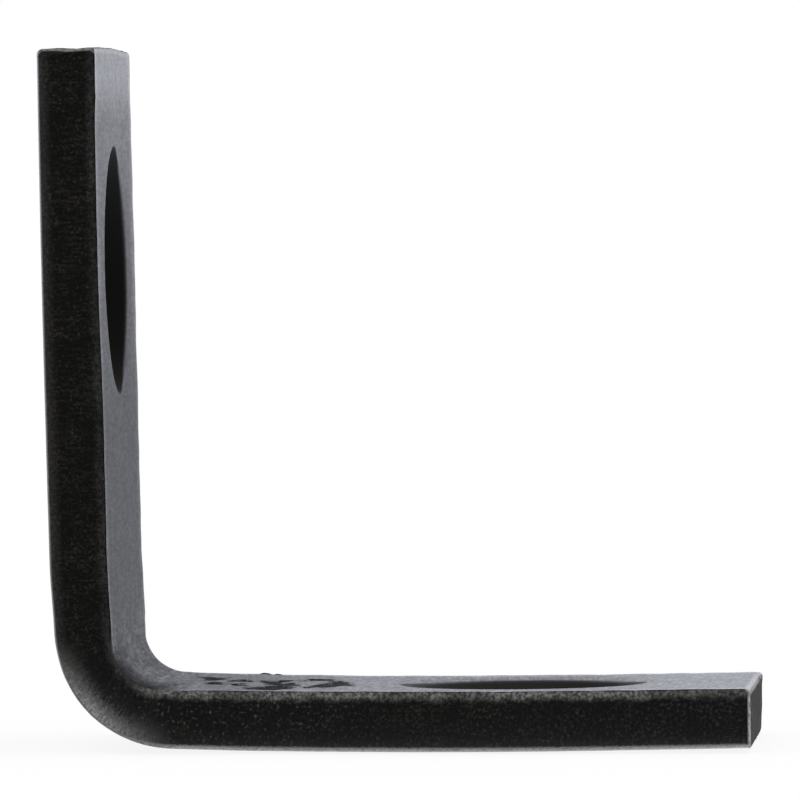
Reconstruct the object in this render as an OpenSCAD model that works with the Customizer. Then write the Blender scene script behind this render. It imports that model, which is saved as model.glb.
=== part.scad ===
// Corner brace: one flat steel bar, bent once into an L, with a countersunk screw hole in each leg.
// X runs along the lower leg, Z goes up, and Y runs across the bar.
// The outer faces bear on the timber, and the countersinks open on the inner faces.
// The origin is at the bottom centre of the whole brace, on the plane that its lower leg rests on.
// Lengths along a leg are measured from the corner where the two outer faces would meet.

/* [Bar] */
// Width of the flat bar
bar_w = 13.2; // [11.5:0.1:30]
// Thickness of the flat bar
bar_t = 2.1; // [1.95:0.05:5]
// Radius that shearing rolls onto the edges of the outer faces
roll_r = 0.3; // [0.1:0.05:0.6]
// Small radius left on the edges of the inner faces and on the upright corners of the ends
edge_r = 0.08; // [0.04:0.01:0.25]

/* [Legs] */
// Length of the lower leg
lower_leg = 25.4; // [23:0.1:60]
// Length of the upright leg
upright_leg = 25.6; // [23:0.1:60]

/* [Bend] */
// Angle between the legs, a little over square because the bar springs back
bend_angle = 91.1; // [86:0.1:96]
// Radius on the inside of the bend
bend_r = 2.1; // [0.8:0.1:4]
// How far stretching draws each side in, at the outside of the bend
draw_in = 0.4; // [0.3:0.05:0.6]
// Radius with which the drawn-in sides curve
draw_r = 2.5; // [2:0.1:6]

/* [Screw holes] */
// Diameter of the screw holes
hole_d = 5.2; // [5:0.1:6]
// Diameter of the countersinks, to the sharp rim that the rounding takes off
sink_d = 8.8; // [7.6:0.1:9]
// Angle across the countersinks' cones
sink_angle = 90; // [86:1:110]
// Radius on the countersinks' rims
rim_r = 0.5; // [0.1:0.05:0.7]
// Distance along the lower leg to its hole
lower_hole = 16.7; // [14:0.1:18]
// Distance along the upright leg to its hole
upright_hole = 17.35; // [14:0.05:18]

/* [Hidden] */
$fn = 96;

// How far cutters run past the faces that they cut
over = 1;
// The angle that the bar turns through, how far the upright leans out, and the outer radius
turn = 180 - bend_angle;
lean = bend_angle - 90;
outer_r = bend_r + bar_t;
// How far short of the outer corner each leg's flat ends and the bend begins
setback = outer_r * tan(turn / 2);
// The ends of the brace in X, from the outer corner: the upright's rolled top edge where it
// leans out and else the bend, and the end of the lower leg
top_edge_x = -(upright_leg - roll_r) * sin(lean) - roll_r * (1 - cos(lean));
low_x = lean > 0 ? top_edge_x : setback - outer_r;
high_x = lower_leg;

// What lies outside a round of radius r, at a corner at the origin that points to +X and +Y
module corner_waste(r) {
    difference() {
        translate([-r, -r]) square(r + over);
        translate([-r, -r]) circle(r);
    }
}

// A straight cutter along Z that rounds such a corner
module edge_cutter(r, length) {
    linear_extrude(length + 2 * over, center = true) corner_waste(r);
}

// The bar's section, set out from the bend's axis: X through the thickness, Y across the width
module bar_section() {
    difference() {
        translate([bend_r, -bar_w / 2]) square([bar_t, bar_w]);
        for (side = [0, 1]) mirror([0, side]) {
            translate([outer_r, bar_w / 2]) corner_waste(roll_r);
            translate([bend_r, bar_w / 2]) mirror([1, 0]) corner_waste(edge_r);
        }
    }
}

// One screw hole and its countersink along Z, with the outer face at 0 and the inner at bar_t
module screw_hole() {
    half_angle = sink_angle / 2;
    land = bar_t - (sink_d - hole_d) / 2 / tan(half_angle);
    // The rim's round touches the inner face straight above its centre, and the cone at rim_touch
    rim_x = sink_d / 2 + rim_r * tan((90 - half_angle) / 2);
    rim_centre = [rim_x, bar_t - rim_r];
    rim_touch = rim_centre + rim_r * [-cos(half_angle), sin(half_angle)];
    rotate_extrude() difference() {
        polygon([
            [0, -over],
            [hole_d / 2, -over],
            [hole_d / 2, land],
            rim_touch,
            rim_centre,
            [rim_x, bar_t + over],
            [0, bar_t + over],
        ]);
        translate(rim_centre) circle(rim_r);
    }
}

// One straight leg along X, from the end of the bend, with the bend's axis at the origin.
// Its length and its hole's place are given from the outer corner.
module leg(length, hole_at) {
    flat = length - setback;
    difference() {
        rotate([0, 90, 0]) linear_extrude(flat) bar_section();
        // The sheared end: rolled at the outer face, and barely broken at its other three edges
        translate([flat, 0, -outer_r]) rotate([-90, 0, 0]) edge_cutter(roll_r, bar_w);
        translate([flat, 0, -bend_r]) rotate([90, 0, 0]) edge_cutter(edge_r, bar_w);
        for (side = [0, 1]) mirror([0, side, 0]) {
            translate([flat, bar_w / 2, -outer_r + bar_t / 2]) edge_cutter(edge_r, bar_t);
        }
        translate([hole_at - setback, 0, -outer_r]) screw_hole();
    }
}

// The bend, from the lower leg round to the upright, turned about an axis across the bar
module bend() {
    rotate([90, 0, 0]) rotate([0, 0, -90]) rotate_extrude(angle = -turn) bar_section();
}

// What stretching takes off each side at the outside of the bend. The side curves in from where
// the legs' flats end, and is drawn in furthest at the outer face, halfway round the bend.
module bend_waste() {
    chord = outer_r * cos(turn / 2);
    starts = [chord, bar_w / 2];
    ends = [outer_r, bar_w / 2 - draw_in];
    half = (ends - starts) / 2;
    away = sqrt(pow(draw_r, 2) - pow(norm(half), 2)) / norm(half);
    centre = starts + half + away * [half[1], -half[0]];
    // X now points out of the bend, halfway round it, and the round runs along Z
    rotate([0, 90 + turn / 2, 0]) for (side = [0, 1]) mirror([0, side, 0]) difference() {
        translate([chord - draw_in, bar_w / 2 - 2 * draw_in, -outer_r]) cube(2 * outer_r);
        translate(centre) cylinder(r = draw_r, h = 5 * outer_r, center = true);
    }
}

module brace() {
    color([0.11, 0.11, 0.105]) translate([setback - (low_x + high_x) / 2, 0, outer_r]) difference() {
        union() {
            leg(lower_leg, lower_hole);
            bend();
            // The upright is the same kind of leg, turned over and stood up on the end of the bend
            rotate([0, -bend_angle, 0]) mirror([0, 0, 1]) leg(upright_leg, upright_hole);
        }
        bend_waste();
    }
}

brace();
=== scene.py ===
# %% [markdown]
# A corner brace: one flat steel bar, punched and countersunk twice, bent once, and coated black.
# It could be cut from boxes and cylinders, but the real one was shaped as a flat blank and then
# bent, and the marks of that work are what make it look real. So this lesson does the same: it
# makes the flat blank, presses, shears and bends it, and then gives it its black coat. The packed
# model is loaded first, because the new piece has to lie where that model's own solid lies.

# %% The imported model
import math
import bmesh
import bpy
from mathutils import Matrix, Vector, noise


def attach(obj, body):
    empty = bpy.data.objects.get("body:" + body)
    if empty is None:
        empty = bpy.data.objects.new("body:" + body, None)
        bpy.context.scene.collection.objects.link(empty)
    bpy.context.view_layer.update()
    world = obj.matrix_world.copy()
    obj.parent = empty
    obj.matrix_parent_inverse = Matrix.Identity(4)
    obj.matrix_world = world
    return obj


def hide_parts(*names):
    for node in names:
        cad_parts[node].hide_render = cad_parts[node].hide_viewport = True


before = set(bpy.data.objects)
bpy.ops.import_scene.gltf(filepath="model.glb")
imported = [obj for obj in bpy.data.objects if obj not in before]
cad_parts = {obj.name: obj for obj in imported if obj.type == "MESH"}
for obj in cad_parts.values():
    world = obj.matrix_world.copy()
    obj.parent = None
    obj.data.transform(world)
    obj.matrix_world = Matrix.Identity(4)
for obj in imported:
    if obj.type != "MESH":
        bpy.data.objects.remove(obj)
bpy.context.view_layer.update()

# %% [markdown]
# The brace is worked in millimetres, which are easier to think in at this size, and the finished
# mesh is brought to metres in one step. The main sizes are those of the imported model, and only
# the rims and edges differ from it, by a few hundredths. Lengths along a leg are measured from
# the corner where the two outer faces would meet.

# %% The brace's sizes in millimetres
MM = 0.001
WIDTH, THICK = 13.2, 2.1
HALF = WIDTH / 2
LOWER_LEG, UPRIGHT_LEG = 25.4, 25.6
LOWER_HOLE, UPRIGHT_HOLE = 16.7, 17.35
BEND_ANGLE = math.radians(91.1)
INNER_R = 2.1
OUTER_R = INNER_R + THICK
print("bar", WIDTH, "by", THICK, "mm; legs", LOWER_LEG, "and", UPRIGHT_LEG, "mm long")

# %% [markdown]
# The angle between the legs is a little over square, because steel springs back after bending, so
# the upright leans out. Its top edge then reaches furthest to the left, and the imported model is
# centred between that edge and the end of the lower leg. The bend takes up as much of the flat
# bar as its arc is long in the middle of the thickness, half of it on either side of the middle.

# %% Where the bend lies
PACKED_ROLL_R = 0.3

TURN = math.pi - BEND_ANGLE
SETBACK = OUTER_R * math.tan(TURN / 2)
HALF_ARC = (INNER_R + THICK / 2) * TURN / 2
lean = BEND_ANGLE - math.pi / 2
upright_top_x = -(UPRIGHT_LEG - PACKED_ROLL_R) * math.sin(lean) - PACKED_ROLL_R * (1 - math.cos(lean))
CORNER_X = -(LOWER_LEG + upright_top_x) / 2
print("outer corner at x =", round(CORNER_X, 3), "mm; bend takes", round(2 * HALF_ARC, 2), "mm of bar")

# %% [markdown]
# The photograph was taken with a long lens from the brace's side, so the bar's edge faces the
# camera and its broad faces are narrow strips. The lens and the place were worked out from the
# edges that run away from the camera. Setting the camera before anything is modelled means that
# every later step can be compared with the photograph.

# %% Camera
YAW, PITCH, ROLL = math.radians(4.03461), math.radians(1.28316), math.radians(-0.348854)
LENS, SENSOR = 426.166, 36
CAMERA_AT = Vector((36.981 + CORNER_X, -350.352, 20.625)) * MM

ahead = Vector((-math.sin(YAW) * math.cos(PITCH), math.cos(YAW) * math.cos(PITCH), -math.sin(PITCH)))
level_right = Vector((math.cos(YAW), math.sin(YAW), 0))
level_up = level_right.cross(ahead)
right = math.cos(ROLL) * level_right + math.sin(ROLL) * level_up
up = right.cross(ahead)
camera = bpy.data.objects.new("camera", bpy.data.cameras.new("camera"))
camera.data.lens = LENS
camera.data.sensor_width = SENSOR
camera.data.clip_start = 0.01
camera.data.clip_end = 100
camera.matrix_world = Matrix.Translation(CAMERA_AT) @ Matrix((right, up, -ahead)).transposed().to_4x4()
bpy.context.scene.collection.objects.link(camera)
bpy.context.scene.camera = camera
print("camera at", [round(c / MM, 1) for c in camera.location], "mm")

# %% [markdown]
# The blank lies flat along X, with its outer face at Z = 0 and its inner face at Z = THICK. Its
# middle, at X = 0, becomes the middle of the bend. Each face of it starts from a circle at each
# hole. The circle's edge is extruded out to a rectangle as wide as the bar, so the rows of faces
# run round the hole and then turn square, as a modeller would draw them. A grid with a hole cut
# into it would leave thin triangles there, and they would show in the gloss.

# %% Round a hole
AROUND = 304
RINGS = 12


def on_rectangle(v, x, half_y):
    """Moves a vertex of a circle round x out to a rectangle, evenly spaced along each side."""
    angle = math.atan2(v.co.y, v.co.x - x)
    side = round(angle / (math.pi / 2))
    along = (angle - side * math.pi / 2) / (math.pi / 4)
    corner = {0: (1, along), 1: (-along, 1), -1: (along, -1)}.get(side, (-1, -along))
    v.co.x, v.co.y = x + corner[0] * HALF, corner[1] * half_y


def round_hole(bm, x, z, radius, half_y):
    """The part of a face that surrounds one hole."""
    centre = Matrix.Translation((x, 0, z))
    ring = bmesh.ops.create_circle(bm, radius=radius, segments=AROUND, matrix=centre)["verts"]
    inside = list({e for v in ring for e in v.link_edges})
    made = bmesh.ops.extrude_edge_only(bm, edges=inside)["geom"]
    outside = {g for g in made if isinstance(g, bmesh.types.BMVert)}
    spokes = [e for v in outside for e in v.link_edges if not outside.issuperset(e.verts)]
    for v in outside:
        on_rectangle(v, x, half_y)
    bmesh.ops.subdivide_edges(bm, edges=spokes, cuts=RINGS - 1)


print("vertices round each hole:", AROUND, "in", RINGS, "rings")

# %% [markdown]
# Between the holes and out to the ends, the bar is plain. There the straight edge of what is
# already made is extruded along the bar in even steps, which is how a strip of faces is drawn by
# hand. The steps are as long as the edge's own faces are wide, so the faces stay nearly square.

# %% The plain stretches
TINY = 0.001
PACE = WIDTH * 4 / AROUND


def run_on(bm, x, z, end, pace=PACE):
    """Carries the face on along the bar, from its straight edge at x to end."""
    edges = [e for e in bm.edges if e.is_boundary
             and all(abs(v.co.x - x) < TINY and abs(v.co.z - z) < TINY for v in e.verts)]
    steps = max(1, round(abs(end - x) / pace))
    for _ in range(steps):
        made = bmesh.ops.extrude_edge_only(bm, edges=edges)["geom"]
        new = {g for g in made if isinstance(g, bmesh.types.BMVert)}
        edges = [g for g in made if isinstance(g, bmesh.types.BMEdge) and new.issuperset(g.verts)]
        bmesh.ops.translate(bm, verts=list(new), vec=((end - x) / steps, 0, 0))


print("a step along the bar:", round(PACE, 3), "mm")

# %% [markdown]
# Both faces of the blank are made by the same steps. The inner one reaches nearly to the bar's
# edges and stops at the countersinks' rims. The outer one is smaller all round, because shearing
# rolls the metal over there, and it stops at the punched holes. The roll is wide and flat along
# the sides, and the two ends have less of it.

# %% Both faces of the blank
LOWER_END = LOWER_LEG - SETBACK + HALF_ARC
UPRIGHT_END = -(UPRIGHT_LEG - SETBACK + HALF_ARC)
HOLES = (LOWER_HOLE - SETBACK + HALF_ARC, -(UPRIGHT_HOLE - SETBACK + HALF_ARC))
HOLE_R, SINK_R, RIM_R = 2.6, 4.43, 0.5
EDGE_R = 0.07
ROLL_WIDTH, ROLL_HEIGHT = 0.6, 0.17
LOWER_END_ROLL, UPRIGHT_END_ROLL = 0.12, 0.5
FINER_IN_BEND = 0.8


def face_of_blank(bm, z, hole_radius, inset, ends):
    """A whole face of the blank with both holes, smaller by the inset at its sides."""
    for x in HOLES:
        round_hole(bm, x, z, hole_radius, HALF - inset)
    run_on(bm, HOLES[0] + HALF, z, LOWER_END - ends[0])
    run_on(bm, HOLES[1] - HALF, z, UPRIGHT_END + ends[1])
    run_on(bm, HOLES[0] - HALF, z, HALF_ARC)
    run_on(bm, HALF_ARC, z, -HALF_ARC, PACE * FINER_IN_BEND)
    run_on(bm, -HALF_ARC, z, HOLES[1] + HALF)
    bmesh.ops.remove_doubles(bm, verts=bm.verts, dist=TINY)


rim_x = SINK_R + RIM_R * math.tan(math.pi / 8)
end_rolls = (ROLL_WIDTH * LOWER_END_ROLL, ROLL_WIDTH * UPRIGHT_END_ROLL)
blank = bmesh.new()
face_of_blank(blank, THICK, rim_x, EDGE_R, (EDGE_R, EDGE_R))
face_of_blank(blank, 0, HOLE_R + EDGE_R, ROLL_WIDTH, end_rolls)
print("faces of the blank:", len(blank.faces), "quads")

# %% [markdown]
# The walls between the two faces follow drawn sections, like a turned profile: one for the
# sheared sides and ends, with its rolled edge, and one for the holes, with the countersink and
# its rounded rim. Each section is a list of points, as a distance in from the bar's side, or out
# from the hole's axis, and a height. A bevel could round the edges too, but the two radii meet at
# the bar's corners, where a bevel folds.

# %% Sections of the walls


def arc(centre, radius, start, end, steps):
    """Points on an arc, in degrees, as (distance, height)."""
    turns = [math.radians(start + (end - start) * i / steps) for i in range(steps + 1)]
    return [(centre[0] + radius * math.cos(a), centre[1] + radius * math.sin(a)) for a in turns]


def line(start, end, steps):
    """Points between two others, without either."""
    shares = [i / steps for i in range(1, steps)]
    return [tuple(a + (b - a) * s for a, b in zip(start, end)) for s in shares]


side_section = arc((EDGE_R, THICK - EDGE_R), EDGE_R, 90, 180, steps=3)
side_section += line((0, THICK - EDGE_R), (0, ROLL_HEIGHT), steps=19)
quarter = arc((1, 1), 1, 180, 270, steps=8)
side_section += [(ROLL_WIDTH * across, ROLL_HEIGHT * high) for across, high in quarter]

rim = arc((rim_x, THICK - RIM_R), RIM_R, 90, 135, steps=4)
land = (HOLE_R, THICK - (SINK_R - HOLE_R))
punched = arc((HOLE_R + EDGE_R, EDGE_R), EDGE_R, 180, 270, steps=2)
hole_section = rim + line(rim[-1], land, steps=9) + [land] + line(land, punched[0], steps=2) + punched
print("rows in a side:", len(side_section) - 1, "and in a hole:", len(hole_section) - 1)

# %% [markdown]
# The two faces are joined by bridging: round the outside for the sheared edges, and inside each
# hole for its wall. The bridge is cut into rows, and each row is moved to its point of the
# section, so the rolled edge, the countersink and its rim lie exactly where they were drawn.

# %% Bridge the faces


def bridge(bm, edges, section, set_distance):
    """Joins two loops with a wall, cuts it into rows and lays each row on its point of the section."""
    bmesh.ops.bridge_loops(bm, edges=edges)
    joined = {v for e in edges for v in e.verts}
    posts = [e for v in joined for e in v.link_edges
             if joined.issuperset(e.verts) and abs(e.verts[0].co.z - e.verts[1].co.z) > THICK / 2]
    rows = len(section) - 1
    cut = bmesh.ops.subdivide_edges(bm, edges=list(set(posts)), cuts=rows - 1)["geom_inner"]
    for v in {g for g in cut if isinstance(g, bmesh.types.BMVert)}:
        row = round((THICK - v.co.z) / THICK * rows)
        set_distance(v, section[row][0])
        v.co.z = section[row][1]


def beside(v, inset):
    """Sets a vertex of the outside wall that far in from the bar's sides and ends."""
    low = 1 - v.co.z / THICK
    edge, lower_edge, upright_edge = [EDGE_R + (roll - EDGE_R) * low for roll in (ROLL_WIDTH, *end_rolls)]
    at_lower_end = v.co.x > LOWER_END - lower_edge - TINY
    at_upright_end = v.co.x < UPRIGHT_END + upright_edge + TINY
    v.co.y *= (HALF - inset) / (HALF - edge)
    if at_lower_end:
        v.co.x = LOWER_END - inset * (LOWER_END_ROLL if low > 0.5 else 1)
    if at_upright_end:
        v.co.x = UPRIGHT_END + inset * (UPRIGHT_END_ROLL if low > 0.5 else 1)


def inside_hole(x):
    """Sets a vertex of a hole's wall at a distance from the hole's own axis."""
    def set_radius(v, radius):
        out = Vector((v.co.x - x, v.co.y)).normalized() * radius
        v.co.x, v.co.y = x + out.x, out.y
    return set_radius


open_edges = [e for e in blank.edges if e.is_boundary]
for x in HOLES:
    near = [e for e in open_edges if all((v.co.xy - Vector((x, 0))).length < rim_x + TINY for v in e.verts)]
    open_edges = [e for e in open_edges if e not in set(near)]
    bridge(blank, near, hole_section, inside_hole(x))
bridge(blank, open_edges, side_section, beside)
print("open edges left:", sum(e.is_boundary for e in blank.edges))

# %% [markdown]
# Where two rolled edges meet, at the corners of the ends, the rows have to turn a round corner.
# The rows near it are drawn closer together, and every vertex that lies outside a small radius is
# then moved in to it. The same move rounds the inner edge of each end. Along the inside of the
# bend the radius grows to a soft lip, because bending squeezes the metal there. The roll of the
# lower end is flattened between its corners.

# %% Round the corners and the lip
CORNER_ZONE, CROWDING = 0.7, 1.6
LOWER_END_R, UPRIGHT_END_R, CORNER_R = 0.2, 0.1, 0.16
LIP_R, LIP_CENTRE, LIP_REACH = 0.5, 0.4, 1.35
FLATTER_END = 0.6
JUST_OVER = 1.01


def ease(low, high, value):
    """0 below low, 1 above high and a smooth step between them."""
    share = min(max((value - low) / (high - low), 0), 1)
    return share * share * (3 - 2 * share)


def rounding(a, b, radius):
    """How far to move in a point that lies a and b inside two faces, to round their edge."""
    out = Vector((radius - a, radius - b))
    if a > radius or b > radius or out.length < radius:
        return 0, 0
    return tuple(out * (1 - radius / out.length))


def closer(distance, own_inset):
    """Draws a row near a corner closer to it, so that the corner has enough rows to be round."""
    if own_inset * JUST_OVER < distance < CORNER_ZONE:
        return CORNER_ZONE * (distance / CORNER_ZONE) ** CROWDING
    return distance


for v in blank.verts:
    on_lower, top_half = v.co.x > 0, v.co.z > THICK / 2
    end = LOWER_END if on_lower else UPRIGHT_END
    from_end, from_side = max(abs(end) - abs(v.co.x), 0), max(HALF - abs(v.co.y), 0)
    if on_lower and v.co.z < ROLL_HEIGHT and from_end <= end_rolls[0] * JUST_OVER:
        v.co.z *= 1 - FLATTER_END * ease(0, ROLL_WIDTH, from_side)
    from_end = closer(from_end, EDGE_R if top_half else end_rolls[0 if on_lower else 1])
    if from_end < EDGE_R:
        from_side = closer(from_side, EDGE_R if top_half else ROLL_WIDTH)
    in_x, in_y = rounding(from_end, from_side, CORNER_R)
    also_x, in_z = rounding(from_end, THICK - v.co.z, LOWER_END_R if on_lower else UPRIGHT_END_R)
    in_bend = max(0, 1 - ((v.co.x - LIP_CENTRE) / HALF_ARC / LIP_REACH) ** 2)
    also_y, also_z = rounding(from_side, THICK - v.co.z, LIP_R * in_bend)
    v.co.x = math.copysign(abs(end) - from_end - in_x - also_x, end)
    v.co.y = math.copysign(HALF - from_side - in_y - also_y, v.co.y)
    v.co.z -= in_z + also_z

bmesh.ops.recalc_face_normals(blank, faces=blank.faces)
print("blank:", len(blank.verts), "vertices")

# %% [markdown]
# Each vertex now keeps its place in the flat blank as an attribute called flat. The steps below
# read it to know where on the bar they are, and so does the coat later, because its pattern has
# to follow the bar round the bend. Two more attributes mark the sheared edges and the
# countersinks, which the coat covers differently. Each countersink is marked a little longer
# along the bar than across it. In that mark the coat is duller and carries painted shade, so the
# longer ends darken the hole's two tips, where the countersink's own shadow falls.

# %% Remember the flat places
SHEARED_FADE = 0.06
SUNK_R, SHADED_TIPS_LONGER, SUNK_FADE = 4.32, 0.2, 0.1

flat = blank.verts.layers.float_vector.new("flat")
sheared = blank.verts.layers.float.new("sheared")
sunk_and_shaded = blank.verts.layers.float.new("sunk_and_shaded")
for v in blank.verts:
    v[flat] = v.co
    from_edge = min(HALF - abs(v.co.y), LOWER_END - v.co.x, v.co.x - UPRIGHT_END)
    v[sheared] = 1 - ease(0.0, SHEARED_FADE, from_edge)
    from_hole = min((v.co.xy - Vector((x, 0)) for x in HOLES), key=lambda out: out.length)
    along_bar = abs(from_hole.x) / max(from_hole.length, TINY)
    # The mark reaches further at the tips: painted shade for the countersink's own shadow there.
    past_rim = from_hole.length - SUNK_R - SHADED_TIPS_LONGER * along_bar ** 6
    v[sunk_and_shaded] = 1 - ease(0, SUNK_FADE, past_rim) if v.co.z > TINY else 0
print("on sheared edges:", sum(v[sheared] > 0.5 for v in blank.verts), "vertices")

# %% [markdown]
# Pressing the countersinks pushes metal outward, so on the real brace each leg is a little bowed
# and its sides bulge beside the hole. These are moves of a tenth of a millimetre, like pushes
# with a soft brush in sculpting, and they are what takes the ruled look off the long edges. Every
# move reads the flat place, so the moves can be made in any order and none disturbs another.

# %% Bowed legs and bulging sides
LOWER_BOW, UPRIGHT_BOW = 0.128, 0.035
BOW_SKEW = 0.92
STIFFER_EDGE, STIFFER_INSIDE = 0.38, 0.8
BULGE, BULGE_REACH = 0.13, 6.5
EDGE_RIPPLE = 0.022


def swell(centre, half, value):
    """1 at the centre, falling smoothly to 0 at half on either side."""
    return 1 - ease(0, half, abs(value - centre))


def leg_share(x):
    """Which leg a place on the blank is on, and how far along it, from 0 at the bend to 1."""
    return (x > 0, (abs(x) - HALF_ARC) / (abs(LOWER_END if x > 0 else UPRIGHT_END) - HALF_ARC))


def spot(v):
    """A vertex's flat place, its depth from 0 outside to 1 inside, and how near a side it is."""
    x, y, z = v[flat]
    return x, y, z, min(max(z / THICK, 0), 1), (abs(y) / HALF) ** 4


for v in blank.verts:
    x, y, z, depth, at_side = spot(v)
    on_lower, share = leg_share(x)
    if share > 0 and on_lower:
        bow = LOWER_BOW * math.sin(math.pi * min(share, 1) ** BOW_SKEW)
        v.co.z -= bow * (1 - STIFFER_EDGE * depth * at_side * (y < 0))
    elif share > 0:
        v.co.z -= UPRIGHT_BOW * math.sin(math.pi * min(share, 1)) * (1 - STIFFER_INSIDE * depth)
    beside_hole = swell(HOLES[0 if on_lower else 1], BULGE_REACH, x)
    v.co.y += math.copysign(BULGE * beside_hole * at_side * (0.4 + 0.6 * depth), y)
    v.co.z += EDGE_RIPPLE * at_side ** 3 * depth * noise.noise(Vector((x * 1.1, y, 11)))
print("widest point:", round(2 * max(v.co.y for v in blank.verts), 2), "mm")

# %% [markdown]
# The punch didn't press quite straight. Both countersinks are a little narrower across the bar
# than along it and sunk deeper on their far side, and the lower one stands nearer to its end.

# %% The countersinks' rims
NARROWER = 0.06
FAR_SIDE_SUNK = 0.06
LOWER_SINK_SHIFT = 0.11

for v in blank.verts:
    x, y, z, depth, at_side = spot(v)
    from_hole = (v[flat].xy - Vector((HOLES[0 if x > 0 else 1], 0))).length
    v.co.y -= NARROWER * y * swell(4.6, 1.5, from_hole)
    v.co.z -= FAR_SIDE_SUNK * depth * ease(0, 3, y) * swell(4.5, 1.0, from_hole)
    if x > 0:
        v.co.x += LOWER_SINK_SHIFT * (1 - ease(4.0, 6.5, from_hole))
print("lower hole moved by", LOWER_SINK_SHIFT, "mm")

# %% [markdown]
# Pressing also thickened both legs, most of all the lower one, and just beside the bend they are
# thinner again. The outer edge on the far side is rolled higher than the near one, and the lower
# leg is twisted a little. On the upright, the near edge of the inner face wanders near the top.

# %% Thickness and twist
LOWER_GAIN, UPRIGHT_GAIN = 0.085, 0.045
LOWER_LIFT, UPRIGHT_LIFT = 0.02, 0.09
BESIDE_BEND = 2.6
FAR_ROLL, FAR_ROLL_WIDTH = 0.26, 2.8
TWIST, TWIST_OVER = 0.05, 6
UPRIGHT_SWELL = 0.07
NEAR_TOP_SINK = 0.05

for v in blank.verts:
    x, y, z, depth, at_side = spot(v)
    on_lower, share = leg_share(x)
    near_bend = swell(HALF_ARC, BESIDE_BEND, abs(x))
    lift = (LOWER_LIFT if on_lower else UPRIGHT_LIFT) * near_bend
    gain = UPRIGHT_GAIN + (LOWER_GAIN - UPRIGHT_GAIN) * ease(-HALF_ARC, HALF_ARC, x)
    v.co.z += (lift - gain) * (1 - depth)
    v.co.z += FAR_ROLL * ease(HALF - FAR_ROLL_WIDTH, HALF, y) ** 1.5 * (1 - depth) ** 3
    if on_lower:
        v.co.z -= TWIST * ease(0, TWIST_OVER, x) * (y / HALF + 1) / 2
    else:
        near_top = ease(0.35, 0.6, share) - 1.3 * ease(0.85, 0.95, share)
        v.co.z -= NEAR_TOP_SINK * depth * at_side * (y < 0) * near_top
        v.co.z += UPRIGHT_SWELL * near_bend * depth
print("lower leg thicker by", LOWER_GAIN, "mm, upright by", UPRIGHT_GAIN, "mm")

# %% [markdown]
# A shear doesn't leave a true end. The lower leg's end is slightly uneven, its far top edge
# stands out, and its far bottom corner is rolled over. The upright's end is highest in the
# middle, with a shallow groove along it, and its outer edge is pulled in.

# %% The sheared ends
LOWER_LONGER, LOWER_UNEVEN = 0.03, 0.015
FAR_TOP_OUT = 0.05
FAR_CORNER_IN, FAR_CORNER_UP = 0.03, 0.09
SIDES_LOWER, MIDDLE_KEPT, UPRIGHT_UNEVEN = 0.09, 0.08, 0.03
GROOVE, GROOVE_HEIGHT, GROOVE_HALF = 0.035, 1.2, 0.5
TOP_EDGE_IN, TOP_EDGE_WIDTH = 0.07, 0.3

for v in blank.verts:
    x, y, z, depth, at_side = spot(v)
    on_lower, share = leg_share(x)
    at_end, very_end = ease(0.8, 1, share), ease(0.95, 1, share)
    if on_lower:
        uneven_end = LOWER_UNEVEN * noise.noise(Vector((y * 1.4, z * 1.6, 8)))
        v.co.x += (LOWER_LONGER + uneven_end) * at_end
        v.co.x += FAR_TOP_OUT * very_end * swell(THICK, 0.5, z) * ease(4, 6, y)
        far_corner = very_end * ease(HALF - 1.5, HALF, y)
        v.co.x -= FAR_CORNER_IN * far_corner * (1 - depth) ** 7
        v.co.z += FAR_CORNER_UP * far_corner * (1 - depth) ** 3
    else:
        uneven_end = UPRIGHT_UNEVEN * noise.noise(Vector((y * 1.4, z * 1.6, 3)))
        crown = SIDES_LOWER - MIDDLE_KEPT * (1 - (y / HALF) ** 2) + uneven_end
        v.co.x += (crown + GROOVE * swell(GROOVE_HEIGHT, GROOVE_HALF, z)) * at_end
        top_edge = max(0, 1 - (x - UPRIGHT_END) / TOP_EDGE_WIDTH)
        v.co.z += TOP_EDGE_IN * top_edge ** 3 * (1 - depth) ** 4
lengthwise = [v.co.x for v in blank.verts]
print("blank is now", round(max(lengthwise) - min(lengthwise), 2), "mm long")

# %% [markdown]
# The last part of a shear's cut tears instead of cutting, so a rough, torn band runs along each
# side just below the inner face. Fractal noise moves the sheared wall in there, deepest at the
# top. A bump in the material would look the same from the front, but the edge itself would stay
# straight.

# %% The torn band
TORN_HEIGHT, TORN_DEPTH = 0.3, 0.075

for v in blank.verts:
    x, y, z = v[flat]
    below = THICK - z
    if v[sheared] > 0.3 and below < TORN_HEIGHT and HALF - abs(y) < EDGE_R * 1.1:
        tear = noise.fractal(Vector((x * 2.3, y, z * 2.0)), 0.7, 2.1, 4)
        torn = TORN_DEPTH * (1 - below / TORN_HEIGHT) ** 1.3 * (1 + 0.7 * tear)
        v.co.y -= math.copysign(torn, y)
print("torn up to", TORN_DEPTH, "mm deep")

# %% [markdown]
# The forming tool left a few shallow dents in the lower leg beside the bend, with their metal
# pushed up round them, and two small burrs on the far edge. Each dent is an ellipse, some of them
# slanted, and noise bends its outline, as a sculpting brush would draw it. Their places are
# measured from the outer corner and from the middle of the bar.

# %% Dents and burrs
DENT_DEPTH = 0.055
RIM_SHARE = 0.35
WANDER_ALONG, WANDER_ACROSS = 0.45, 1.0
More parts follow.
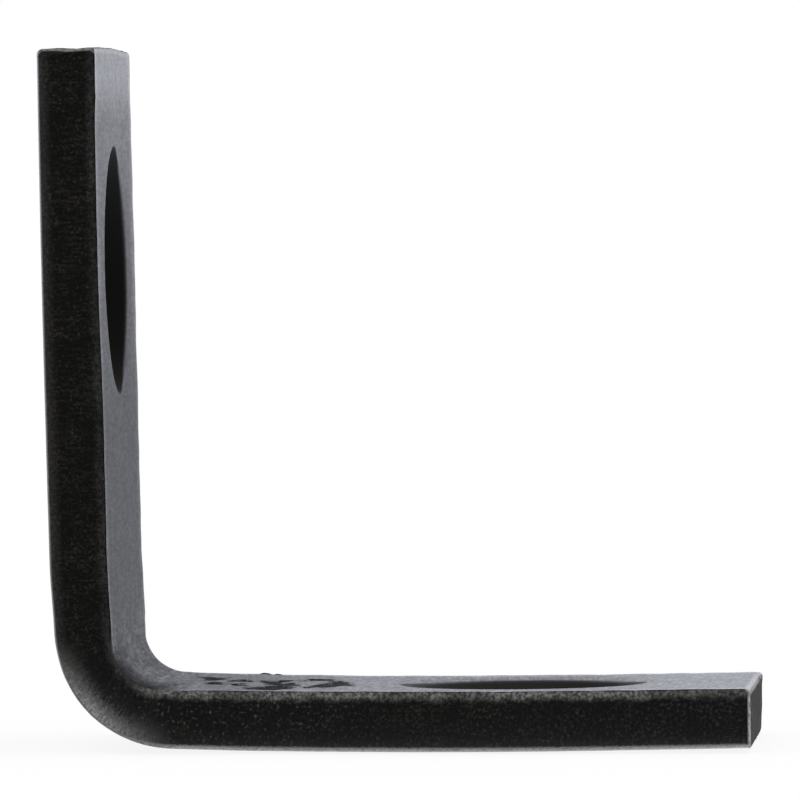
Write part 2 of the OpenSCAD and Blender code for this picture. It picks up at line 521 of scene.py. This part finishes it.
# Each dent's place along and across, its half length and half width, and its slant
DENTS = (
    (5.0, 2.2, 0.42, 1.3, 0.0), (5.4, -0.9, 0.42, 0.9, 0.0), (6.2, 1.0, 0.5, 0.8, 0.0),
    (7.75, -0.4, 0.5, 2.2, -0.26), (7.6, -4.0, 0.95, 1.6, 0.0), (6.4, -1.9, 0.3, 0.9, -0.1),
    (8.95, 2.3, 0.7, 0.9, 0.1), (9.85, -0.6, 0.52, 2.6, 0.06), (9.2, -2.3, 0.28, 1.3, 0.1),
    (7.7, 1.6, 0.5, 0.8, 0.0),
)
# Each burr's place along the leg, its height and its half length
BURRS = ((6.65, 0.06, 0.24), (7.15, 0.035, 0.16))


def dent(x, y, centre_x, centre_y, half_x, half_y, slant):
    """How deep one dent is at a point of the inner face, and below 0 on the rim it pushed up."""
    across = (y - centre_y) / half_y
    along = (x - centre_x - slant * (y - centre_y)) / half_x
    reach = math.hypot(along, across)
    return (1 - ease(0.55, 1.0, reach)) - RIM_SHARE * swell(1.15, 0.3, reach)


for v in blank.verts:
    x, y, z = v[flat]
    if z > THICK * 0.98 and x > 0:
        from_corner = x + SETBACK - HALF_ARC
        wander = [noise.noise(Vector((x * 0.9, y * 0.7, seed))) for seed in (5, 9)]
        dent_x, dent_y = from_corner + WANDER_ALONG * wander[0], y + WANDER_ACROSS * wander[1]
        deep = sum(dent(dent_x, dent_y, *one) for one in DENTS)
        ragged = 1 + 0.5 * noise.noise(Vector((x * 3, y * 1.5, 5)))
        v.co.z -= DENT_DEPTH * max(deep, -0.4) * ragged
        for place_x, height, half in BURRS:
            v.co.z += height * swell(place_x, half, from_corner) * ease(HALF - 0.9, HALF - 0.2, y)
print("dents:", len(DENTS), "and burrs:", len(BURRS))

# %% [markdown]
# Now the bar is bent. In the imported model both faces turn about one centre. On the real brace the
# outside is blunter and the inside sharper than that, so each face gets a radius of its own with
# a centre of its own, and the levels between them share out the difference.

# %% How far each level lies from the bend's axis
TRUE_OUTER, TRUE_INNER = 4.4, 1.6


def bent_radius(depth, phi):
    """Distance from the bend's axis at a depth (0 outside, 1 inside) and an angle off its middle."""
    far = (TRUE_OUTER - OUTER_R) / math.cos(TURN / 2)
    outside = -far * math.cos(phi) + math.sqrt(TRUE_OUTER ** 2 - (far * math.sin(phi)) ** 2)
    near = (INNER_R - TRUE_INNER) / math.cos(TURN / 2)
    flat_from = TURN / 2 - math.atan((INNER_R - TRUE_INNER) * math.tan(TURN / 2) / INNER_R)
    inside = near * math.cos(phi) + math.sqrt(TRUE_INNER ** 2 - (near * math.sin(phi)) ** 2)
    if abs(phi) > flat_from:
        inside = INNER_R / math.cos(TURN / 2 - abs(phi))
    return outside + (inside - outside) * depth


print("thickness in the middle of the bend:", round(bent_radius(0, 0) - bent_radius(1, 0), 2), "mm")

# %% [markdown]
# Bending also stretches the outside, which draws its sides in, and squeezes the inside, which
# swells out past the sides. A bent tube of the right section would have none of that, so the
# moves are made here, by how far round the bend each vertex is. Beyond the bend a vertex keeps
# its distance along its leg.

# %% Bend the bar
DRAWN_IN = 0.5
SQUEEZED_OUT, PUSHED_IN = 0.16, 0.14
BEND_REACH = 1.25

for v in blank.verts:
    x, y, z = v[flat]
    moved = v.co - v[flat]
    around = swell(0, HALF_ARC * BEND_REACH, x)
    depth = min(max(z / THICK, 0), 1)
    near_edge = (abs(y) / HALF) ** 3
    moved.y -= math.copysign(DRAWN_IN * around * near_edge * (1 - depth) ** 2, y)
    moved.y += math.copysign(SQUEEZED_OUT * around * near_edge * depth ** 2, y)
    moved.z += PUSHED_IN * (1 - 0.4 * y / HALF) * around * near_edge * depth ** 2
    height = z + moved.z
    x += moved.x
    if x > HALF_ARC:
        bent = Vector((SETBACK + x - HALF_ARC, 0, height))
    else:
        turned = min((HALF_ARC - x) / (2 * HALF_ARC), 1) * TURN
        radius = bent_radius(depth, turned - TURN / 2) - moved.z
        bent = Vector((SETBACK - radius * math.sin(turned), 0, OUTER_R - radius * math.cos(turned)))
        if x < -HALF_ARC:
            bent += (-HALF_ARC - x) * Vector((-math.cos(TURN), 0, math.sin(TURN)))
    v.co = Vector((bent.x + CORNER_X, y + moved.y, bent.z))
print("top of the upright at", round(max(v.co.z for v in blank.verts), 2), "mm")

# %% [markdown]
# Stretched metal goes rough like the skin of an orange, which shows on the outside of the bend.
# The rest of the skin is nearly smooth, and only the sheared sides are a little uneven. Each
# vertex moves along its own normal, as Blender's Displace modifier would move it. Then the brace
# is lifted to stand on the floor.

# %% Skin of the metal
PEEL = 0.011
UNEVEN = 0.006

blank.normal_update()
for v in blank.verts:
    x, y, z = v[flat]
    stretched = swell(0, HALF_ARC * 1.1, x) * (1 - ease(0.1, 1.3, z))
    peel = noise.fractal(v[flat] * 5.5, 0.8, 2.0, 3)
    slow = noise.noise(v[flat] * 0.9)
    v.co += v.normal * (PEEL * stretched * peel + UNEVEN * (0.4 + 1.2 * v[sheared]) * slow)
lowest = min(v.co.z for v in blank.verts)
bmesh.ops.translate(blank, verts=blank.verts, vec=(0, 0, -lowest))
print("bent brace lifted by", round(-lowest, 3), "mm, to stand on the floor")

# %% [markdown]
# The mesh is brought to metres and becomes one object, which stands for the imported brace.

# %% The finished piece
bmesh.ops.scale(blank, verts=blank.verts, vec=(MM, MM, MM))
mesh = bpy.data.meshes.new("corner_brace")
blank.to_mesh(mesh)
blank.free()
for polygon in mesh.polygons:
    polygon.use_smooth = True
brace = bpy.data.objects.new("corner_brace", mesh)
bpy.context.scene.collection.objects.link(brace)
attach(brace, "root")
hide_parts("brace")
print("corner brace:", sum(len(p.vertices) - 2 for p in mesh.polygons), "triangles")

# %% [markdown]
# Shader maths reads best as ordinary sums. This class wraps one socket of a node, so that an
# expression such as 1 - mask adds the Math node that works it out.

# %% Sums that make nodes


class Wire:
    """One output socket, which can be added, multiplied and so on."""

    def __init__(self, tree, socket):
        self.tree, self.socket = tree, socket

    def maths(self, operation, *values):
        return self.tree.node("ShaderNodeMath", {"operation": operation}, dict(enumerate(values)))

    def __add__(self, other):
        return self.maths("ADD", self, other)

    def __sub__(self, other):
        return self.maths("SUBTRACT", self, other)

    def __rsub__(self, other):
        return self.maths("SUBTRACT", other, self)

    def __mul__(self, other):
        if isinstance(other, tuple):
            return self.tree.node("ShaderNodeVectorMath", {"operation": "MULTIPLY"}, {0: self, 1: other})
        return self.maths("MULTIPLY", self, other)

    def __abs__(self):
        return self.maths("ABSOLUTE", self)

    __radd__, __rmul__ = __add__, __mul__

    def at_most(self, other):
        return self.maths("MINIMUM", self, other)

    def at_least(self, other):
        return self.maths("MAXIMUM", self, other)

    def ramp(self, start, end):
        """0 at the start, 1 at the end and a smooth step between them."""
        settings = {"interpolation_type": "SMOOTHSTEP"}
        return self.tree.node("ShaderNodeMapRange", settings, {0: self, 1: start, 2: end})


print("sums that make nodes:", "a + b, a - b, a * b, abs(a)")

# %% [markdown]
# Every node of a material or a world comes from one method, which sets what is chosen on the node
# first and then its sockets, with values or with links. Two more methods are short for the nodes
# that are used most: a blend of two colours and a noise texture.

# %% A tree of nodes


class Nodes:
    """The node tree of a material or a world."""

    def __init__(self, owner):
        owner.use_nodes = True
        self.tree = owner.node_tree
        self.tree.nodes.clear()

    def node(self, kind, settings=None, values=None, output=0):
        made = self.tree.nodes.new(kind)
        for name, value in (settings or {}).items():
            setattr(made, name, value)
        for name, value in (values or {}).items():
            socket = made.inputs[name]
            if isinstance(value, Wire):
                self.tree.links.new(value.socket, socket)
            else:
                socket.default_value = value
        return Wire(self, made.outputs[output]) if made.outputs else made

    def blend(self, share, first, second):
        """A colour between two others."""
        return self.node("ShaderNodeMix", {"data_type": "RGBA"}, {0: share, 6: first, 7: second}, 2)

    def grain(self, place, scale, detail=2.0, roughness=0.5):
        """Noise from about 0 to 1, with 0.5 in the middle."""
        values = {"Vector": place, "Scale": scale, "Detail": detail, "Roughness": roughness}
        return self.node("ShaderNodeTexNoise", {"noise_dimensions": "3D"}, values)

    def __len__(self):
        return len(self.tree.nodes)


print("shortcuts of a tree:", "node, blend, grain")

# %% [markdown]
# The coat is a thin satin black, baked over steel. It is dark where it faces the eye and turns
# pale grey where it is seen at a low angle, which the shader's own reflection gives. First come
# the wires that say where on the bar a point is: along it from the middle of the bend, across it,
# up from the outer face, and in from its sides and its ends. They are in millimetres of the flat
# blank, so the numbers in their ramps below are places on the bar.

# %% Where a point is on the bar
COAT = bpy.data.materials.new("black_coat")
nodes = Nodes(COAT)
place = nodes.node("ShaderNodeAttribute", {"attribute_name": "flat"}, output="Vector")
along, across, depth = [nodes.node("ShaderNodeSeparateXYZ", values={0: place}, output=a) for a in "XYZ"]
cut_edge = nodes.node("ShaderNodeAttribute", {"attribute_name": "sheared"}, output="Fac")
pressed_and_shaded = nodes.node("ShaderNodeAttribute", {"attribute_name": "sunk_and_shaded"}, output="Fac")
from_side = HALF - abs(across)
from_end = (LOWER_END - along).at_most(along - UPRIGHT_END)
from_corner = along + (SETBACK - HALF_ARC)
on_lower = along.ramp(-1.0, 3.0)
on_upright = 1 - on_lower
print("nodes that say where:", len(nodes))

# %% [markdown]
# A baked coat is never even. Each noise below is one kind of unevenness that can be seen on the
# real one, and the steps after it use them at different strengths in different places. A noise
# whose place is stretched first makes streaks. Four helpers keep the sums short.

# %% The coat's grains
fine = nodes.grain(place, 11.0, 3.0, 0.6)
cloudy = nodes.grain(place, 1.3, 3.0, 0.6)
patchy = nodes.grain(place, 2.2, 4.0, 0.7)
mottled = nodes.grain(place, 8.5, 4.0, 0.62)
ragged = nodes.grain(place, 6.5, 4.0, 0.7)
torn_grain = nodes.grain(place, 8.0, 4.0, 0.7)
streaks = nodes.grain(place * (7.0, 1.1, 7.0), 1.0, 4.0, 0.7)
pulled = nodes.grain(place * (13.0, 1.5, 3.5), 1.0, 4.0, 0.75)
combed = nodes.grain(place * (9.0, 3.0, 2.2), 1.0, 3.0, 0.65)


def uneven(grain, amount):
    """A grain that adds as much as it takes away, by up to half the amount."""
    return (grain - 0.5) * amount


def partly(mask, least):
    """A mask that doesn't fall below the least."""
    return mask * (1 - least) + least


def fade(share, first, second):
    """A number between two others."""
    return first * (1 - share) + second * share


def between(value, rise, fall):
    """1 between a rise and a fall, each given as where it is 0 and where it is 1."""
    return value.ramp(*rise) * value.ramp(*fall)


print("nodes with the grains:", len(nodes))

# %% [markdown]
# The forming dents are duller than the face round them, and they are made darker as well: that is
# painted shade, for the shading that their shallow slopes give. The mesh gives them their depth,
# but at this low an angle that barely shows, so the painted shade is what shows them. So each
# ellipse is worked out again here, with finer noise that frays its outline. The tops of the two
# burrs are dark too.

# %% Struck places and their painted shade
FRAY = 1.5
FRAYED_ALONG, FRAYED_ACROSS = 1.5, 4.5
LEAST_STRUCK_AND_SHADED = 0.6

fray_along = uneven(nodes.grain(place, 0.8, 4.0, 0.6), FRAYED_ALONG)
fray_across = uneven(nodes.grain(place * (1.0, 1.0, 0.0), 1.0, 4.0, 0.6), FRAYED_ACROSS)
struck_and_shaded = 0.0
for centre_x, centre_y, half_x, half_y, slant in DENTS:
    off_y = across + fray_across - centre_y
    off_x = (from_corner + fray_along - centre_x - off_y * slant) * (1 / half_x)
    reach = off_x * off_x + off_y * off_y * (1 / half_y ** 2)
    struck_and_shaded = (reach + uneven(torn_grain, FRAY)).ramp(1.35, 0.55).at_least(struck_and_shaded)
struck_and_shaded = struck_and_shaded * depth.ramp(THICK - 0.25, THICK - 0.1) * along.ramp(0.0, 1.0) * (1 - cut_edge)
struck_and_shaded = struck_and_shaded * partly(torn_grain.ramp(0.6, 0.4), LEAST_STRUCK_AND_SHADED)
for place_x, _, half in BURRS:
    on_burr = abs(from_corner - place_x).ramp(half * 0.9, half * 0.5)
    struck_and_shaded = struck_and_shaded.at_least(on_burr * across.ramp(HALF - 0.7, HALF - 0.3) * on_lower)
print("nodes with the struck places:", len(nodes))

# %% [markdown]
# The inner faces are seen at so low an angle that they mirror the white background, and how dull
# the coat is there sets how grey they look. It is dullest near the bend. At the ends of the legs,
# where handling has polished it, it is smoother and looks paler.

# %% How dull the faces are
TOP_ROUGH, UPRIGHT_ROUGH = 0.38, 0.55
TOP_POLISHED = 0.12
LOWER_ROUGH = 0.5
LOWER_POLISHED, LOWER_END_POLISHED = 0.165, 0.07

linear = {"interpolation_type": "LINEAR"}
climb = {0: along, 1: -21.5, 2: -10.0, 3: TOP_ROUGH, 4: UPRIGHT_ROUGH}
upright_rough = nodes.node("ShaderNodeMapRange", linear, climb)
lower_rough = LOWER_ROUGH - along.ramp(1.0, 10.0) * LOWER_POLISHED
lower_rough = lower_rough - along.ramp(16.0, 22.0) * LOWER_END_POLISHED
top_end = along.ramp(-21.0, -23.0)
face_rough = fade(on_lower, upright_rough, lower_rough) - top_end * TOP_POLISHED
print("faces' roughness from", TOP_ROUGH, "to", UPRIGHT_ROUGH)

# %% [markdown]
# On top of that even change lie the grains. Streaks run across the bar everywhere and are fainter
# at the ends. In the bend the coat is grainier, and its near side is duller than the rest, so
# that the face darkens softly towards its lip.

# %% Unevenness of the faces
STREAKED, STREAKED_LOWER = 0.3, 0.2
TOP_CALMER, LOWER_END_CALMER = 0.12, 0.14
BEND_MOTTLED, BEND_GRAINY, BEND_CLOUDY, CLOUDY = 0.4, 0.5, 0.15, 0.1
BEND_SHADE, BEND_PATCHY = 0.42, 0.5
STRUCK_DULLER, BEND_SMOOTHER, SIDES_SMOOTHER = 0.48, 0.03, 0.11

by_bend = between(along, (-4.0, -1.0), (5.5, 2.5))
bend_grain = nodes.grain(place * (4.5, 0.45, 4.5), 1.0, 4.0, 0.75)
face_rough = face_rough + uneven(mottled, by_bend * BEND_MOTTLED) + uneven(bend_grain, by_bend * BEND_GRAINY)
face_rough = face_rough + uneven(cloudy, CLOUDY + by_bend * BEND_CLOUDY)
streaked = STREAKED + on_lower * STREAKED_LOWER
streaked = streaked - top_end * TOP_CALMER - along.ramp(14.0, 20.0) * LOWER_END_CALMER
face_rough = face_rough + uneven(streaks, streaked) + struck_and_shaded * STRUCK_DULLER
face_rough = face_rough - from_side.ramp(1.3, 0.1) * SIDES_SMOOTHER - by_bend * BEND_SMOOTHER
near_lip = across.ramp(0.0, -HALF) * between(along, (-2.2, 0.0), (3.4, 1.2))
face_rough = face_rough + near_lip * (BEND_SHADE + uneven(patchy, BEND_PATCHY))
print("nodes with the faces' roughness:", len(nodes))

# %% [markdown]
# The coat is thin and dull on the sheared sides and in the countersinks, and dullest of all, and
# cloudy, on the two cut ends.

# %% How dull the edges are
SIDE_ROUGH, SINK_ROUGH = 0.72, 0.6
END_DULLER, END_MOTTLED, END_CLOUDY = 0.23, 0.8, 1.2

rough = fade(cut_edge, face_rough, SIDE_ROUGH)
rough = fade(pressed_and_shaded, rough, SINK_ROUGH)
end_cloud = nodes.grain(place * (1.0, 0.35, 1.6), 1.0, 4.0, 0.7)
end_rough = END_DULLER + uneven(mottled, END_MOTTLED) + uneven(end_cloud, END_CLOUDY)
rough = rough + from_end.ramp(0.06, 0.02) * end_rough
print("nodes with all the roughness:", len(nodes))

# %% [markdown]
# On the outside of the bend the stretched skin is rough, and it is painted pale grey there. The
# grey is a painted highlight: it stands in for the light from the floor that this rough corner
# catches where it is drawn in and tilts downward. The grey starts at the outer face, thins out
# towards the middle of the side, and frays into short streaks that point inward, across the pull.

# %% The stretched corner and its painted highlight
outward = depth + uneven(pulled, 2.2) + uneven(mottled, 0.9)
stretched = outward.ramp(1.12, -0.12) * between(along, (-2.4, 0.4), (2.8, -0.2)) * cut_edge
print("nodes with the stretched corner:", len(nodes))

# %% [markdown]
# Along the torn band the skin is rough too, and it is painted grey. The grey is partly the torn
# skin and partly a painted highlight, for the light from above that the band catches where it
# tilts upward. So the band is strong on the lower leg and only faint on the upright. Its lower
# border wanders, and it comes and goes along the bar. Round the inside of the bend it thins to a
# dark haze, which also lies on the lip.

# %% The torn band's grey, partly a painted highlight
LIT_ON_UPRIGHT = 0.11
LIP_HAZE, LIP_HAZE_MORE = 0.3, 0.5

wavy = nodes.grain(place * (1.0, 0.2, 0.2), 1.6, 3.0, 0.6)
torn = (depth + uneven(wavy, 0.35) + uneven(ragged, 0.3)).ramp(1.68, 2.0)
torn = torn * (along.ramp(0.2, 2.2) + along.ramp(-2.0, -3.5) * LIT_ON_UPRIGHT)
torn = torn * partly(along.ramp(23.0, 19.0), 0.5) * (nodes.grain(place, 0.75).ramp(0.36, 0.6) * 0.6 + 0.6)
torn = torn * partly(torn_grain.ramp(0.38, 0.66), 0.15)
torn = torn * depth.ramp(2.105, 2.085) * from_side.ramp(0.35, 0.15)

on_lip = depth.ramp(2.09, 2.03) * (LIP_HAZE + mottled.ramp(0.4, 0.6) * LIP_HAZE_MORE)
haze = (depth + uneven(ragged, 0.6)).ramp(1.75, 2.12) * between(along, (-3.2, -1.2), (3.6, 1.6))
haze = haze * cut_edge.at_least(on_lip)
print("nodes with the torn band:", len(nodes))

# %% [markdown]
# The sharp edges are painted pale. That is partly wear, where handling took the coat through to
# bare steel, and partly a painted highlight, for the light that the rounded edges mirror from the
# white floor and background. It lies on the upright corners of the ends, along the edges of the
# ends, and along the rolled edges of the sides. It is stronger on the lower leg, and weaker
# towards the far side.

# %% Worn corners and edges, with their painted highlight
LEAST_WORN_AND_LIT, UPRIGHT_WORN_AND_LIT, FAR_KEPT = 0.35, 0.53, 0.7

corners = (from_end * 1.3 + from_side * 0.8 + uneven(ragged, 0.08)).ramp(0.17, 0.10)
inner_ends = (from_end + (THICK - depth)).ramp(0.28, 0.14)
outer_ends = (from_end + depth).ramp(0.34, 0.2) * on_upright
outer_sides = (depth + uneven(ragged, 0.2) + on_upright * 0.07).ramp(0.22, 0.1) * from_side.ramp(0.45, 0.25)
worn_and_highlit = corners.at_least(inner_ends).at_least(outer_ends).at_least(outer_sides)
worn_and_highlit = worn_and_highlit * partly(ragged.ramp(0.36, 0.6), LEAST_WORN_AND_LIT) * partly(on_lower, UPRIGHT_WORN_AND_LIT)
worn_and_highlit = worn_and_highlit * (1 - across.ramp(1.0, 4.0) * cloudy.ramp(0.42, 0.55) * FAR_KEPT)
print("nodes with the wear:", len(nodes))

# %% [markdown]
# The coat itself is nearly black: faintly blue on the faces, and faintly brown, with some of the
# steel's own colour, on the sheared sides. Both are mottled between two shades. The mottling is
# combed a little along the upright.

# %% Black of the faces and sides
FACE_BLACKS = ((0.0022, 0.0027, 0.0055, 1), (0.0050, 0.0058, 0.0095, 1))
SIDE_BLACKS = ((0.0022, 0.0014, 0.0006, 1), (0.0175, 0.0148, 0.0112, 1))
COMBED = 0.45

face_black = nodes.blend(mottled.ramp(0.40, 0.75), *FACE_BLACKS)
side_grain = fade(on_upright * COMBED, mottled, combed)
side_patches = nodes.grain(place, 0.9, 3.0, 0.6).ramp(0.35, 0.65)
side_black = nodes.blend(side_grain.ramp(0.44, 0.70) * (0.35 + side_patches), *SIDE_BLACKS)
black = nodes.blend(cut_edge, face_black, side_black)
print("nodes with the blacks:", len(nodes))

# %% [markdown]
# Pale specks show on the sheared sides, like pores that the coat didn't fill. They are many on
# the lower leg beside the bend and few elsewhere. Near the outer face the sides are also a little
# greyer, more so on the upright.

# %% Specks, and grey near the outer face
SPECKS_ALL, SPECKS_IN_PATCHES, SPECKS_BY_BEND = 0.12, 0.26, 0.75
SPECK_STRENGTH = 0.9

specks = nodes.grain(place, 8.5).ramp(0.60, 0.76)
many = nodes.grain(place, 0.6).ramp(0.35, 0.7)
how_many = SPECKS_ALL + many * SPECKS_IN_PATCHES + along.ramp(11.0, 4.0) * on_lower * SPECKS_BY_BEND
speckled = specks * how_many * cut_edge * depth.ramp(2.02, 1.95)
greyer_near_outer = depth.ramp(0.6, -0.05) * (1 - on_lower * 0.6) * (0.5 + mottled.ramp(0.4, 0.6) * 0.6) * cut_edge
print("nodes with the specks:", len(nodes))

# %% [markdown]
# The finishes are laid over the black one after another, as a painter would glaze them: each is a
# mask and the colour that shows where the mask is 1. Some of them paint light and shade, as their
# own steps say. Bare, worn steel, which also carries the edges' painted highlight, comes last,
# because wear is the last thing that happened to the brace.

# %% All the colours
SPECK_GREY = (0.067, 0.066, 0.064, 1)
OUTER_SIDE_GREY = (0.034, 0.031, 0.028, 1)
# Painted highlight: the light from the floor on the stretched corner, as a pale grey.
STRETCHED_AND_LIT_GREY = (0.495, 0.488, 0.485, 1)
HAZE_GREY = (0.050, 0.049, 0.048, 1)
# Partly painted highlight: the torn band's grey is also the light from above that it catches.
TORN_AND_LIT_GREY = (0.186, 0.183, 0.178, 1)
# With the matt black of the shader, painted shade in the dents and countersinks.
SHADED_STRUCK_BLACK = (0.011, 0.011, 0.011, 1)
CUT_BROWN = (0.032, 0.025, 0.017, 1)
# Partly painted highlight: bare steel where worn, and also the light that the rounded edges mirror.
WORN_STEEL_AND_HIGHLIGHT = (0.44, 0.438, 0.43, 1)

colour = black
for mask, shade in (
    (speckled * SPECK_STRENGTH, SPECK_GREY),
    (greyer_near_outer, OUTER_SIDE_GREY),
    (stretched * partly(pulled.ramp(0.40, 0.60), 0.25), STRETCHED_AND_LIT_GREY),
    (haze, HAZE_GREY),
    (torn, TORN_AND_LIT_GREY),
    (pressed_and_shaded.at_least(struck_and_shaded), SHADED_STRUCK_BLACK),
    (from_end.ramp(0.05, 0.02) * partly(ragged.ramp(0.35, 0.65), 0.3), CUT_BROWN),
    (worn_and_highlit, WORN_STEEL_AND_HIGHLIGHT),
):
    colour = nodes.blend(mask, colour, shade)
print("nodes with the colours:", len(nodes))

# %% [markdown]
# The mesh carries every form that can be seen in the outline. What is finer than that is relief:
# a Bump node turns the grains into tilted normals, a few thousandths of a millimetre deep, and
# more so where the skin is stretched or torn. The coat is a Principled shader. A plain diffuse
# black is mixed in on the dents, the burr tops and in the upright's countersink, so that little is
# mirrored there. That black is partly the duller coat and partly painted shade, for the shading of
# the dents and the shadow inside the countersink.

# %% The coat's relief and shader
RELIEF_DEPTH = 0.000004
ROUGH_SKIN = 2.5
SINK_SHADE, STRUCK_SHADE = 0.8, 0.5

relief = fine * 0.6 + (streaks + specks + mottled) * 0.8 + ragged * stretched.at_least(torn) * ROUGH_SKIN
bump = nodes.node("ShaderNodeBump", values={"Strength": 1.0, "Distance": RELIEF_DEPTH, "Height": relief})
coat_shader = nodes.node("ShaderNodeBsdfPrincipled", values={
    "Base Color": colour, "Roughness": rough, "Normal": bump})
# Painted shade: a matt black for the dents' shading and the countersink's shadow.
shade_black_shader = nodes.node("ShaderNodeBsdfDiffuse", values={"Color": (0.004, 0.004, 0.004, 1)})
matt_and_shade = (pressed_and_shaded * on_upright * SINK_SHADE).at_least(struck_and_shaded * STRUCK_SHADE)
finish = nodes.node("ShaderNodeMixShader", values={0: matt_and_shade, 1: coat_shader, 2: shade_black_shader})
nodes.node("ShaderNodeOutputMaterial", values={"Surface": finish})
mesh.materials.append(COAT)
print("nodes of the coat:", len(nodes))

# %% [markdown]
# The brace stands on plain paper in front of a white background. The floor is one large square,
# so that its edge never shows.

# %% Floor
FLOOR_HALF = 30

floor_mesh = bpy.data.meshes.new("floor")
plane = bmesh.new()
bmesh.ops.create_grid(plane, x_segments=1, y_segments=1, size=FLOOR_HALF)
plane.to_mesh(floor_mesh)
plane.free()
floor = bpy.data.objects.new("floor", floor_mesh)
bpy.context.scene.collection.objects.link(floor)
print("floor:", 2 * FLOOR_HALF, "m square")

# %% [markdown]
# Seen by the camera or in a reflection, the paper glows nearly white by itself and takes only a
# small part of its brightness from the light, so a soft shadow shows under the brace. To the
# light that bounces, it is ordinary pale paper. In reflections the paper in front of the brace is
# dark, as the unlit room on the photographer's side would be, so the sides of the bar stay black.

# %% Paper
PAPER_GREY = (0.8, 0.8, 0.8, 1)
FLOOR_LIT = 0.12
BRACE_FRONT, FRONT_GLOW = (-0.0085, -0.0066), 0.04
COOL_WHITE = (0.89, 0.91, 1.0, 1)
WHITE, UNLIT = (1, 1, 1, 1), (0, 0, 0, 1)

PAPER = bpy.data.materials.new("floor_paper")
nodes = Nodes(PAPER)
to_camera = nodes.node("ShaderNodeLightPath", output="Is Camera Ray")
in_gloss = nodes.node("ShaderNodeLightPath", output="Is Glossy Ray")
through_glass = nodes.node("ShaderNodeLightPath", output="Is Transmission Ray")
seen = to_camera.at_least(in_gloss).at_least(through_glass)
floor_place = nodes.node("ShaderNodeTexCoord", output="Object")
backward = nodes.node("ShaderNodeSeparateXYZ", values={0: floor_place}, output="Y")
shown = partly(backward.ramp(*BRACE_FRONT), FRONT_GLOW).at_least(to_camera)
glow_tint = nodes.blend(to_camera, COOL_WHITE, WHITE)
glow_colour = nodes.blend(shown * (1 - FLOOR_LIT * to_camera), UNLIT, glow_tint)
glow = nodes.node("ShaderNodeEmission", values={"Strength": 1.0, "Color": glow_colour})
lit = nodes.node("ShaderNodeBsdfDiffuse", values={"Color": PAPER_GREY})
seen_lit = nodes.node("ShaderNodeBsdfDiffuse", values={"Color": (FLOOR_LIT, FLOOR_LIT, FLOOR_LIT, 1)})
bright = nodes.node("ShaderNodeAddShader", values={0: seen_lit, 1: glow})
paper = nodes.node("ShaderNodeMixShader", values={0: seen, 1: lit, 2: bright})
nodes.node("ShaderNodeOutputMaterial", values={"Surface": paper})
floor_mesh.materials.append(PAPER)
print("nodes of the paper:", len(nodes))

# %% [markdown]
# The brace mirrors its surroundings, and those decide how its faces look. Behind it stands a
# cool white wall, above it a dimmer, warmer top, and the rest of the room is nearly dark. So the
# faces that run away from the camera turn grey, as they are in the photograph, and the sides stay
# black. A shader on the world can draw such a room from the direction in which it is looked at.

# %% What reflections see
BEHIND, ABOVE = (0.4, 0.85), (0.5, 0.95)
TOP_LEVEL, ROOM_LEVEL = 0.4, 0.02
WARM_WHITE = (1.0, 0.95, 0.88, 1)

world = bpy.data.worlds.new("studio")
bpy.context.scene.world = world
nodes = Nodes(world)
direction = nodes.node("ShaderNodeTexCoord", output="Generated")
back, high = [nodes.node("ShaderNodeSeparateXYZ", values={0: direction}, output=a) for a in "YZ"]
behind = back.ramp(*BEHIND)
mirrored = behind.at_least(high.ramp(*ABOVE) * TOP_LEVEL).at_least(ROOM_LEVEL)
tint = nodes.blend(behind, WARM_WHITE, COOL_WHITE)
room_colour = nodes.blend(mirrored, UNLIT, tint)
room = nodes.node("ShaderNodeBackground", values={"Strength": 1.0, "Color": room_colour})
print("nodes of the room:", len(nodes))

# %% [markdown]
# The light itself is an even white sky with no lamps, like a photographer's tent, at the level at
# which a colour renders about as it is written. The camera sees the background as pure white. So
# the world has three faces, and each ray gets its own.

# %% World
white = nodes.node("ShaderNodeBackground", values={"Strength": 1.0, "Color": WHITE})
soft = nodes.node("ShaderNodeBackground", values={"Strength": 1.0, "Color": WHITE})
in_gloss = nodes.node("ShaderNodeLightPath", output="Is Glossy Ray")
to_camera = nodes.node("ShaderNodeLightPath", output="Is Camera Ray")
first = nodes.node("ShaderNodeMixShader", values={0: in_gloss, 1: soft, 2: room})
second = nodes.node("ShaderNodeMixShader", values={0: to_camera, 1: first, 2: white})
nodes.node("ShaderNodeOutputWorld", values={"Surface": second})
bpy.context.scene.view_settings.view_transform = "Standard"
print("nodes of the world:", len(nodes))
